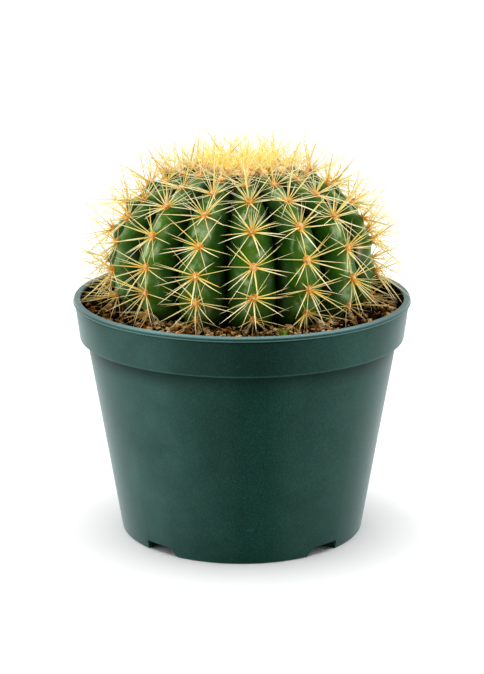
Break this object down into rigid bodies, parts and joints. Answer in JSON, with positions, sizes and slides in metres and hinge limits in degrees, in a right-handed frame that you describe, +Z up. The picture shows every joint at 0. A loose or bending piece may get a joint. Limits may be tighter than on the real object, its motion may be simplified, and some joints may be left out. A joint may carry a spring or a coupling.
{
  "type": "potted round cactus",
  "caption": "Young golden barrel cactus with ribs and golden spines, rooted in a tapered plastic nursery pot of bark potting mix.",
  "frame": {"origin": "on the pot's axis, on the surface that the pot stands on", "axes": "+Z up, the pictured front faces -Y, +X to the right of the front"},
  "size_m": [0.152, 0.152, 0.1816],
  "materials": {
    "pot_plastic": "dark green moulded polypropylene, satin",
    "potting_mix": "coarse bark and peat chips with a little white grit, matt",
    "stem_skin": "waxy deep green skin with paler bloom, satin",
    "root_bark": "corky tan root skin, matt",
    "golden_spine": "horny golden yellow spines on orange felt pads, semi-gloss",
    "crown_wool": "dense yellow plant wool and young golden spines"
  },
  "bodies": {
    "root": {"pot": "pot_plastic", "potting_soil": "potting_mix", "cactus_stem": "stem_skin", "roots": "root_bark", "spine_row_01": "golden_spine", "spine_row_02": "golden_spine", "spine_row_03": "golden_spine", "spine_row_04": "golden_spine", "spine_row_05": "golden_spine", "spine_row_06": "golden_spine", "spine_row_07": "golden_spine", "spine_row_08": "golden_spine", "spine_row_09": "golden_spine", "spine_row_10": "golden_spine", "spine_row_11": "golden_spine", "spine_row_12": "golden_spine", "spine_row_13": "golden_spine", "spine_row_14": "golden_spine", "spine_row_15": "golden_spine", "crown": "crown_wool"}
  },
  "joints": []
}
